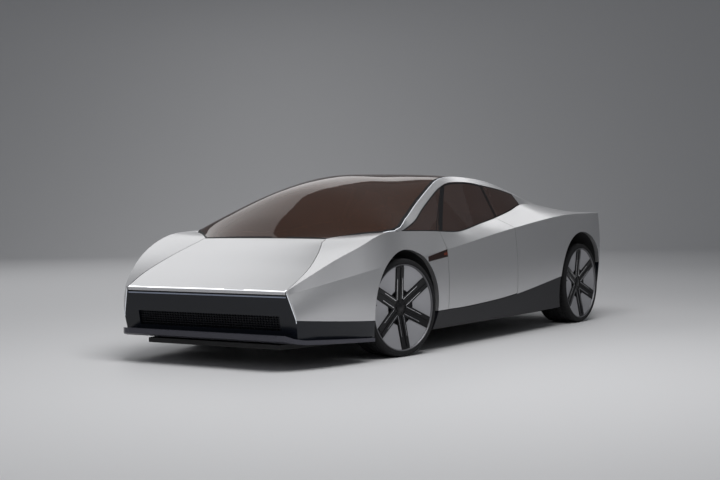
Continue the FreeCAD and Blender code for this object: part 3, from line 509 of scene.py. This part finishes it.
def border(chains, start, stop, rise, keep=None, sink=SINK):
    # A flat strip beside each chain, from start to stop inward of it, where keep allows it
    section = ((start, -sink), (stop, -sink), (stop, rise), (start, rise))
    strips = []
    for row, closed in chains:
        runs, run = [], []
        for p, out, into in row:
            if keep is None or keep(p):
                run.append((p, out, into))
            elif run:
                runs.append((run, False))
                run = []
        if run:
            runs.append((run, closed and len(run) == len(row)))
        for run, ring in runs:
            if len(run) < 2:
                continue
            verts = [p + into * across + out * high for p, out, into in run for across, high in section]
            faces = tube_faces(len(run), 4, ring)
            if not ring:
                last = len(verts) - 1
                faces += [(0, 1, 2, 3), (last, last - 1, last - 2, last - 3)]
            strips.append((verts, faces))
    return joined(*strips)


def surface(*names):
    # A tree for rays over the CAD panels named
    meshes = []
    for name in names:
        mesh = NODES[name].data
        verts = [NODES[name].matrix_world @ v.co for v in mesh.vertices]
        meshes.append((verts, [p.vertices for p in mesh.polygons]))
    return BVHTree.FromPolygons(*joined(*meshes))


def touch(tree, start, way):
    # Where a ray meets the surface, with the normal that looks back along the ray, or None
    place, normal = tree.ray_cast(Vector(start), Vector(way).normalized())[:2]
    if place is None:
        return None
    return place, -normal if normal.dot(Vector(way)) > 0 else normal


def feel(tree, start, way, spread):
    # Of five rays close together the one that meets the surface first, so that a narrow gap is bridged
    found = touch(tree, start, way)
    for aside in ((spread, 0), (-spread, 0), (0, spread), (0, -spread)):
        shift = Vector((aside[0], 0, aside[1]))
        other = touch(tree, start + shift, way)
        if other and (found is None or (other[0] - found[0]).dot(Vector(way)) < 0):
            found = other[0] - shift, other[1]
    return found


def points(low, high, steps):
    # Evenly spaced points from low to high
    return [Vector([a + (b - a) * i / steps for a, b in zip(low, high)]) for i in range(steps + 1)]


def patch(tree, left, right, way, rows, cols=4, rise=0.0008, spread=0.0):
    # A thin skin over the surface, seen along one way between two lines given by their ends
    grid = []
    for a, b in zip(points(*left, rows), points(*right, rows)):
        starts = [a.lerp(b, k / cols) for k in range(cols + 1)]
        row = [feel(tree, p, way, spread) if spread else touch(tree, p, way) for p in starts]
        if all(row):
            grid.append(row)
    if len(grid) < 2:
        return [], []
    verts = [p + n * high for high in (rise, -SINK) for row in grid for p, n in row]
    return verts, slab_faces(len(grid) - 1, cols)


def laid(name, mesh, mat, body, slot):
    # A piece laid on the CAD, left out where no ray met a panel
    if mesh[0]:
        piece(name, *mesh, mat, body, slot)


def strand(places, half, steps=8):
    # A round bar through a row of points; no bar runs along the helper
    helper = Vector((0.31, 0.17, 0.93))
    verts = []
    for i, p in enumerate(places):
        along = (places[min(i + 1, len(places) - 1)] - places[max(i - 1, 0)]).normalized()
        side = along.cross(helper).normalized()
        over = side.cross(along)
        for k in range(steps):
            turn = 2 * math.pi * k / steps
            verts.append(p + side * math.cos(turn) * half + over * math.sin(turn) * half)
    return capped(verts, tube_faces(len(places), steps), steps)


# Rays at the car's sides start this far out, and those at its nose and tail
BESIDE, AHEAD, BEHIND = 2.0, 3.0, -4.0
FORWARD, BACKWARD = (1, 0, 0), (-1, 0, 0)


def roof_lines():
    # Dark border of the windscreen and roof glass, and a painted highlight along its sides: a glowing strip
    # that stands in for light caught on the pillar edge
    edges = outer_edges("roof_glass", (0, 0, 1), 0.5)
    frit = border(edges, start=0.0, stop=0.022, rise=0.0006)
    piece("roof_frit", *frit, SEAL, "body", "gloss_black")
    trim = border(edges, start=-0.0036, stop=-0.0006, rise=0.0006, keep=lambda p: abs(p.y) > 0.50, sink=0.003)
    piece("screen_edge_highlight", *trim, EDGE_HIGHLIGHT, "body", "body_paint")


def hood_highlights():
    # The painted highlight along the hood's front edge: a glowing strip on it and a thin glowing bar at the
    # edge, standing in for light caught on the edge
    edges = outer_edges("hood", (0, 0, 1), 0.5)
    front_x, least_step = 2.385, 0.004
    line = border(edges, start=0.0, stop=0.0110, rise=0.0005, keep=lambda p: p.x > front_x)
    piece("hood_front_highlight", *line, HOOD_HIGHLIGHT, "hood", "body_paint")
    row = [p for chain, closed in edges for p, out, into in chain if p.x > front_x]
    row.sort(key=lambda p: p.y)
    row = [p for k, p in enumerate(row) if k == 0 or p.y - row[k - 1].y > least_step]
    piece("hood_front_highlight_bar", *strand(row, 0.0022), HOOD_HIGHLIGHT, "hood", "body_paint")


def pane_lines(side, sign):
    # Seals round the side panes, a wider band where they meet, and two bars on the quarter light
    panes = {"door_glass_" + side: "door_" + side, "side_glass_" + side: "body"}
    reach = 0.020
    for name, body in panes.items():
        edges = outer_edges(name, (0, sign * 0.8, 0.6), 0.7)
        seal = border(edges, start=0.0, stop=0.009, rise=0.0006)
        piece("seal_" + name, *seal, SEAL, body, "gloss_black")
        other = surface(*[pane for pane in panes if pane != name])
        band = border(edges, start=-0.0015, stop=0.021, rise=0.0010,
                      keep=lambda p: other.find_nearest(p, reach)[0] is not None)
        laid("band_" + name, band, SEAL, body, "gloss_black")
    pane = surface("side_glass_" + side)
    foot, top, wide = 0.876, 1.258, 0.010
    bars = []
    for x_foot, x_top in ((0.712, 0.225), (0.782, 0.240)):
        left = (x_foot, sign * BESIDE, foot), (x_top, sign * BESIDE, top)
        right = (x_foot + wide, sign * BESIDE, foot), (x_top + wide, sign * BESIDE, top)
        bars.append(patch(pane, left, right, (0, -sign, 0), rows=14))
    laid("divider_" + side, joined(*bars), SEAL, "body", "gloss_black")


def corner_highlight(side, sign):
    # A painted highlight: a glowing line down the nose's corner that stands in for light caught on the edge
    nose = surface("front_bumper", "fender_" + side)
    steps, proud, half = 12, 0.0004, 0.0019
    line = []
    for k in range(steps + 1):
        u = k / steps
        y, z = 0.7255 + 0.054 * min(1, u * 1.12), 0.524 - 0.200 * u
        found = touch(nose, (AHEAD, sign * y, z), BACKWARD)
        if found:
            line.append(found[0] + found[1] * proud)
    if len(line) > 2:
        piece("corner_highlight_" + side, *strand(line, half), EDGE_HIGHLIGHT, "body", "body_paint")


roof_lines()
hood_highlights()
for side, sign in SIDES:
    pane_lines(side, sign)
    corner_highlight(side, sign)


# Grille bars in the front intake
def intake():
    # Cross bars and posts that stand out from the dark panel behind them
    tree = surface("front_bumper")
    half, sunk, pitch = 0.636, 0.0005, 0.024
    low, high, inside = 0.268, 0.366, 0.002
    cross, cross_deep = 0.0016, 0.014
    post, post_deep = 0.0012, 0.010
    bars = []
    for z in (0.284, 0.301, 0.318, 0.335, 0.352):
        x = touch(tree, (AHEAD, 0.0, z), BACKWARD)[0].x
        bars.append(box_mesh((x - sunk, -half, z - cross), (x + cross_deep, half, z + cross)))
    for k in range(-26, 27):
        y = k * pitch
        x_low = touch(tree, (AHEAD, y, low + inside), BACKWARD)[0].x
        x_high = touch(tree, (AHEAD, y, high - inside), BACKWARD)[0].x
        verts, faces = box_mesh((-sunk, y - post, low), (post_deep, y + post, high))
        bars.append(([((x_low if z == low else x_high) + x, y, z) for x, y, z in verts], faces))
    return joined(*bars)


piece("intake_grille", *intake(), SATIN, "body", "dark_satin", smooth=False)


# A dark blade over each fender marker, with three copper lens stripes at its rear end whose faint glow is a
# painted glint
def marker(side, sign):
    low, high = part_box("fender_markers")
    tall, deep = high[2] - low[2], high[0] - low[0]
    first, lens, pitch = 0.004, 0.009, 0.018
    inward = (0, -sign, 0)

    def upright(x, foot, top):
        # A line beside the car; foot and top are shares of the marker's height
        return (x, sign * BESIDE, low[2] + tall * foot), (x, sign * BESIDE, low[2] + tall * top)

    skin = surface("fender_" + side, "fender_markers")
    rear, front = upright(low[0] + 0.001, 0.0, 1.45), upright(high[0] + 0.22 * deep, -0.65, 0.32)
    blade = patch(skin, rear, front, inward, rows=12, cols=24, rise=0.0009, spread=0.003)
    laid("marker_blade_" + side, blade, AMBER, "body", "lamp_amber")
    marks = surface("fender_markers")
    # The lens stripes are lens parts; their glow is a painted glint
    lenses = []
    for k in range(3):
        x = low[0] + first + pitch * k
        rear, front = upright(x, 0.34, 0.94), upright(x + lens, 0.34, 0.94)
        lenses.append(patch(marks, rear, front, inward, rows=12, rise=0.0015))
    laid("marker_lens_glints_" + side, joined(*lenses), COPPER_GLINT, "body", "lamp_amber")


for side, sign in SIDES:
    marker(side, sign)


# Cabin: padded seats, the helm and the instrument panel
SEAT_Y, SEAT_TILT, BACK_TILT = 0.37, -0.05, -math.atan2(0.62, -0.22)
REAR_SEAT_Y, REAR_SEAT_TILT, REAR_BACK_TILT = 0.30, 0.05, -math.atan2(0.51, -0.14)


def cushion(length, width, thick, ribs=0, power=0.30):
    # A rounded slab with cross seams on its top, its middle at the origin
    steps, sides, depth = 40, 20, 0.006

    def bend(value):
        return math.copysign(abs(value) ** power, value)

    verts = []
    for i in range(steps + 1):
        lat = -math.pi / 2 + math.pi * i / steps
        x, ring = bend(math.sin(lat)), bend(math.cos(lat))
        for j in range(2 * sides):
            lon = math.pi * j / sides
            y, z = ring * bend(math.cos(lon)), ring * bend(math.sin(lon))
            dent = 0.0
            if ribs and z > 0.5 * max(ring, 0.01):
                seam = max(0.0, 1 - 3 * abs(math.sin(math.pi * ribs * (x + 1) / 2)))
                dent = depth * seam * min(1, 3 * (1 - abs(y)))
            verts.append((x * length / 2, y * width / 2, z * thick / 2 - dent))
    return verts, tube_faces(steps + 1, 2 * sides)


def placed(mesh, at, tilt=0.0, turn=0.0):
    matrix = Matrix.Translation(at) @ Matrix.Rotation(turn, 4, "Z") @ Matrix.Rotation(tilt, 4, "Y")
    return moved(mesh, matrix)


def seat_pad(name, mesh):
    pad = piece(name, *mesh, LEATHER, "body", "seat_leather", angle=60)


def arm_pad(name, mesh, body):
    rest = piece(name, *mesh, LEATHER, body, "seat_leather", angle=60)


def front_seat(side, y):
    # A shell on two rails with seven pads and two lines of piping
    shell = joined(placed(cushion(0.50, 0.46, 0.060, power=0.22), (0.130, y, 0.362)),
                   placed(cushion(0.62, 0.44, 0.040, power=0.22), (-0.215, y, 0.735), BACK_TILT),
                   placed(box_mesh((-0.20, -0.15, -0.045), (0.20, -0.12, 0.0)), (0.105, y, 0.352)),
                   placed(box_mesh((-0.20, 0.12, -0.045), (0.20, 0.15, 0.0)), (0.105, y, 0.352)))
    base = piece("seat_shell_" + side, *shell, TRIM, "body", "cabin_trim")
    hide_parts("seat_" + side)
    pads = {"cushion": placed(cushion(0.47, 0.34, 0.100, ribs=6), (0.135, y, 0.415), SEAT_TILT),
            "back": placed(cushion(0.44, 0.32, 0.085, ribs=6), (-0.130, y, 0.680), BACK_TILT),
            "head": placed(cushion(0.17, 0.24, 0.075), (-0.248, y, 0.970), BACK_TILT)}
    for way in (-1, 1):
        thigh, rib = (0.135, y + way * 0.198, 0.425), (-0.112, y + way * 0.190, 0.690)
        pads["thigh_%d" % (way + 1)] = placed(cushion(0.46, 0.075, 0.115), thigh, SEAT_TILT)
        pads["rib_%d" % (way + 1)] = placed(cushion(0.42, 0.080, 0.110), rib, BACK_TILT)
    for part, mesh in pads.items():
        seat_pad("seat_%s_%s" % (part, side), mesh)
    seams = []
    for way in (-1, 1):
        row = points((-0.045, y + way * 0.152, 0.512), (-0.200, y + way * 0.152, 0.912), 10)
        seams.append(strand(row, 0.0022, 6))
    piece("seat_piping_" + side, *joined(*seams), STITCH, "body", "seat_leather")


def rear_seat():
    # A bench across the cabin with a cushion and a back pad on each side
    base = joined(placed(cushion(0.40, 1.10, 0.16, power=0.18), (-0.865, 0, 0.380)),
                  placed(cushion(0.50, 1.10, 0.06, power=0.18), (-1.130, 0, 0.700), REAR_BACK_TILT))
    bench = piece("rear_seat_base", *base, TRIM, "body", "cabin_trim")
    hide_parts("rear_seat")
    for side, sign in SIDES:
        y = sign * REAR_SEAT_Y
        seat = placed(cushion(0.36, 0.44, 0.10, ribs=4), (-0.865, y, 0.425), REAR_SEAT_TILT)
        seat_pad("rear_cushion_" + side, seat)
        back = placed(cushion(0.42, 0.42, 0.085, ribs=4), (-1.085, y, 0.690), REAR_BACK_TILT)
        seat_pad("rear_back_" + side, back)


def helm():
    # A round rim with a flat lower side, a padded hub on four arms, its column and its keys
    turn = Matrix.Translation((0.450, SEAT_Y, 0.800)) @ Matrix.Rotation(math.radians(-66), 4, "Y")
    radius, flat, steps, sides = 0.180, 0.150, 96, 14
    half_wide, half_thick = 0.0140, 0.0125
    ring = []
    for i in range(steps + 1):
        t = 2 * math.pi * i / steps
        ring.append(Vector((min(radius * math.cos(t), flat), radius * math.sin(t), 0)))
    verts = []
    for i in range(steps):
        along = (ring[i + 1] - ring[i - 1]).normalized()
        out = along.cross(Vector((0, 0, 1)))
        for k in range(sides):
            t = 2 * math.pi * k / sides
            verts.append(ring[i] + out * half_wide * math.cos(t) + Vector((0, 0, half_thick * math.sin(t))))
    rim = moved((verts, tube_faces(steps, sides, closed=True)), turn)
    hub = moved(cushion(0.13, 0.15, 0.050, power=0.35), turn @ Matrix.Translation((0.006, 0, -0.006)))
    arms = [box_mesh((-0.016, 0.055, -0.006), (0.016, 0.170, 0.004)),
            box_mesh((-0.016, -0.170, -0.006), (0.016, -0.055, 0.004)),
            box_mesh((0.055, -0.030, -0.006), (0.148, -0.014, 0.004)),
            box_mesh((0.055, 0.014, -0.006), (0.148, 0.030, 0.004))]
    column = moved(disc_mesh(0.024, -0.010, 0.250, 40), turn @ Matrix.Rotation(math.pi / 2, 4, "X"))
    keys = [box_mesh((-0.010, y - 0.012, 0.003), (0.010, y + 0.012, 0.0065))
            for y in (-0.115, -0.085, 0.085, 0.115)]
    grip = piece("helm_rim", *rim, LEATHER, "body", "cabin_trim", angle=60)
    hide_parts("steering_wheel")
    piece("helm_pad", *joined(hub, moved(joined(*arms), turn)), TRIM, "body", "cabin_trim")
    piece("helm_column", *column, SATIN, "body", "cabin_trim")
    piece("helm_keys", *moved(joined(*keys), turn), RIM_GREY, "body", "cabin_trim")


def instruments():
    # Two screens with plain rings and bars, and three rows of vent blades
    front, back, top = 0.634, 0.6415, 0.832
    screens = [box_mesh((front, 0.215, 0.745), (back, 0.525, top)),
               box_mesh((front, -0.150, 0.715), (back, 0.150, top))]
    piece("screens", *joined(*screens), SCREEN, "body", "gloss_black", smooth=False)
    ring = lathe([(0.0260, 0), (0.0285, 0), (0.0285, 0.0008), (0.0260, 0.0008)], 40)
    marks = [placed(ring, (0.6338, y, 0.789), turn=math.pi / 2) for y in (0.290, 0.370, 0.450)]
    for k in range(5):
        z, length = 0.735 + 0.018 * k, 0.045 + 0.035 * (k % 3)
        marks.append(box_mesh((0.6332, -0.115, z), (0.6340, -0.115 + length, z + 0.006)))
    piece("screen_marks", *joined(*marks), DIAL, "body", "lamp_white", smooth=False)
    vents = []
    for y in (-0.66, -0.36, 0.55):
        for k in range(5):
            z = 0.752 + 0.014 * k
            vents.append(box_mesh((0.6335, y, z), (0.6410, y + 0.12, z + 0.005)))
    piece("vents", *joined(*vents), RIM_GREY, "body", "cabin_trim", smooth=False)


def console():
    # The armrest, and a round dial between two rings
    top = 0.560
    arm_pad("armrest", placed(cushion(0.34, 0.150, 0.050), (0.04, 0, 0.582)), "body")
    stand = Matrix.Rotation(math.pi / 2, 4, "X")
    ring = lathe([(0.036, 0), (0.044, 0), (0.044, 0.004), (0.036, 0.004)], 48)
    rings = [moved(disc_mesh(0.028, 0, 0.016, 40), Matrix.Translation((0.42, 0, top)) @ stand)]
    rings += [moved(ring, Matrix.Translation((x, 0, top)) @ stand) for x in (0.30, 0.55)]
    piece("console_rings", *joined(*rings), RIM_GREY, "body", "cabin_trim")


for side, sign in SIDES:
    front_seat(side, sign * SEAT_Y)
rear_seat()
helm()
instruments()
console()


# Linings of the doors, the hood and the tail lid
def door_lining(side, sign):
    # A card with an upper pad and a speaker panel, an armrest and a pull
    body = "door_" + side
    door = surface(body)
    outward = (0, sign, 0)

    def card(x0, x1, z0, z1, rows, cols, rise):
        left, right = ((x0, 0, z0), (x0, 0, z1)), ((x1, 0, z0), (x1, 0, z1))
        return patch(door, left, right, outward, rows, cols, rise)

    laid("door_card_" + side, card(-0.345, 0.640, 0.365, 0.800, 16, 30, 0.0030), TRIM, body, "cabin_trim")
    upper = card(-0.285, 0.560, 0.640, 0.760, 8, 24, 0.0060)
    laid("door_upper_" + side, upper, LEATHER, body, "seat_leather")
    laid("door_speaker_" + side, card(0.310, 0.560, 0.400, 0.540, 8, 12, 0.0060), SATIN, body, "cabin_trim")
    spot = touch(door, (0.080, 0, 0.585), outward)
    if not spot:
        return
    place, inward = spot
    turn = -sign * math.atan2(-inward.x, -inward.y * sign)
    rest = placed(cushion(0.42, 0.052, 0.060), place + inward * 0.024, turn=turn)
    arm_pad("door_rest_" + side, rest, body)
    grip, steps = [], 12
    for k in range(steps + 1):
        bow = 0.003 + 0.030 * math.sin(math.pi * k / steps)
        grip.append(place + inward * bow + Vector((0.190 + 0.010 * k, 0, 0.110)))
    piece("door_pull_" + side, *strand(grip, 0.0065, 12), RIM_GREY, body, "cabin_trim")


def lid_lining(name, x0, x1, half):
    # A skin under a lid, felt for from below
    below = -1.0
    left, right = [((x0, y, below), (x1, y, below)) for y in (-half, half)]
    lining = patch(surface(name), left, right, (0, 0, 1), rows=16, cols=24, rise=0.0020)
    laid(name + "_lining", lining, TRIM, name, "cabin_trim")


for side, sign in SIDES:
    door_lining(side, sign)
lid_lining("hood", 1.93, 2.34, 0.52)
lid_lining("tail_lid", -2.41, -2.00, 0.54)


# Tail: lamp ribs, reflectors with a painted glow, and a bare plate seat
def tail_panel(y_left, y_right, low, high, rows, rise):
    left = (BEHIND, y_left, low), (BEHIND, y_left, high)
    right = (BEHIND, y_right, low), (BEHIND, y_right, high)
    return patch(surface("rear_bumper"), left, right, FORWARD, rows, rise=rise)


def lamp_ribs():
    lamp = surface("tail_lamp")
    low, high, half, pitch = 0.8435, 0.8705, 0.0015, 0.0202
    proud, sunk = 0.0008, 0.002
    ribs = []
    for k in range(-35, 36):
        y = k * pitch
        found = touch(lamp, (BEHIND, y, (low + high) / 2), FORWARD)
        if found:
            x = found[0].x
            ribs.append(box_mesh((x - proud, y - half, low), (x + sunk, y + half, high)))
    return joined(*ribs)


piece("tail_lamp_ribs", *lamp_ribs(), SATIN, "body", "gloss_black", smooth=False)
laid("plate_seat", tail_panel(0.26, -0.26, 0.560, 0.670, 10, 0.0010), SATIN, "body", "gloss_black")
# The red reflectors take the glowing tail-lamp colour, a painted glow, though they are no lamp
reflectors = [tail_panel(sign * 0.66, sign * 0.56, 0.585, 0.615, 6, 0.0012) for sign in (-1, 1)]
laid("reflectors", joined(*reflectors), RED_LINE, "body", "lamp_red")


# Floor, light and camera, which stands where the photo was taken from
YAW, PITCH, ROLL = math.radians(34.0), math.radians(1.74), math.radians(-0.83)
EYE = Vector((9.59, 6.17, 1.15))
LENS_MM, SENSOR_MM = 67.6, 36.0


def stage_plane():
    # A floor that bends up into a wall far behind the car, square to the camera
    ground = plain("floor_grey", (0.62, 0.62, 0.63), rough=0.55)
    front, foot, bend, top, half, steps = 40.0, -17.0, 5.0, 16.0, 60.0, 24
    rows = [(front, 0.0), (foot, 0.0)]
    for i in range(1, steps + 1):
        t = math.pi / 2 * i / steps
        rows.append((foot - bend * math.sin(t), bend - bend * math.cos(t)))
    rows.append((foot - bend, top))
    turn = Matrix.Rotation(YAW, 4, "Z")
    verts = [turn @ Vector((x, y, z)) for x, z in rows for y in (-half, half)]
    faces = [(2 * i, 2 * i + 1, 2 * i + 3, 2 * i + 2) for i in range(len(rows) - 1)]
    floor = piece("floor", verts, faces, ground)


def area(name, place, target, size, watts):
    light = bpy.data.lights.new(name, "AREA")
    light.shape = "RECTANGLE"
    light.size, light.size_y = size
    light.energy = watts
    obj = bpy.data.objects.new(name, light)
    obj.location = place
    obj.rotation_euler = (Vector(target) - Vector(place)).to_track_quat("-Z", "Y").to_euler()
    bpy.context.scene.collection.objects.link(obj)


stage_plane()
area("key", (2.5, 2.2, 6.5), (0.3, 0.0, 0.4), (5.0, 5.0), 430)
area("hood_light", (-6.2, -8.6, 6.6), (-6.2, -8.5, 0.0), (15.4, 8.6), 400)
area("haunch_light", (-8.5, -1.4, 5.6), (-1.5, 0.8, 0.9), (4.0, 1.6), 34)
area("front_fill", (8.0, 0.5, 3.4), (1.8, 0.0, 0.5), (3.5, 2.0), 12)
area("side_fill", (2.0, 8.0, 3.4), (0.0, 0.6, 0.5), (6.0, 2.0), 10)

world = bpy.data.worlds.new("studio")
world.use_nodes = True
put(world.node_tree.nodes["Background"], {"Color": (0.55, 0.57, 0.60, 1), "Strength": 0.27})
bpy.context.scene.world = world

look = Vector((-math.cos(YAW) * math.cos(PITCH), -math.sin(YAW) * math.cos(PITCH), -math.sin(PITCH)))
level = look.cross(Vector((0, 0, 1))).normalized()
upright = level.cross(look)
right = math.cos(ROLL) * level + math.sin(ROLL) * upright
up = math.cos(ROLL) * upright - math.sin(ROLL) * level
lens = bpy.data.cameras.new("camera")
lens.lens = LENS_MM
lens.sensor_width = SENSOR_MM
camera = bpy.data.objects.new("camera", lens)
camera.matrix_world = Matrix.Translation(EYE) @ Matrix((right, up, -look)).transposed().to_4x4()
bpy.context.scene.collection.objects.link(camera)
bpy.context.scene.camera = camera
bpy.context.scene.view_settings.view_transform = "Standard"
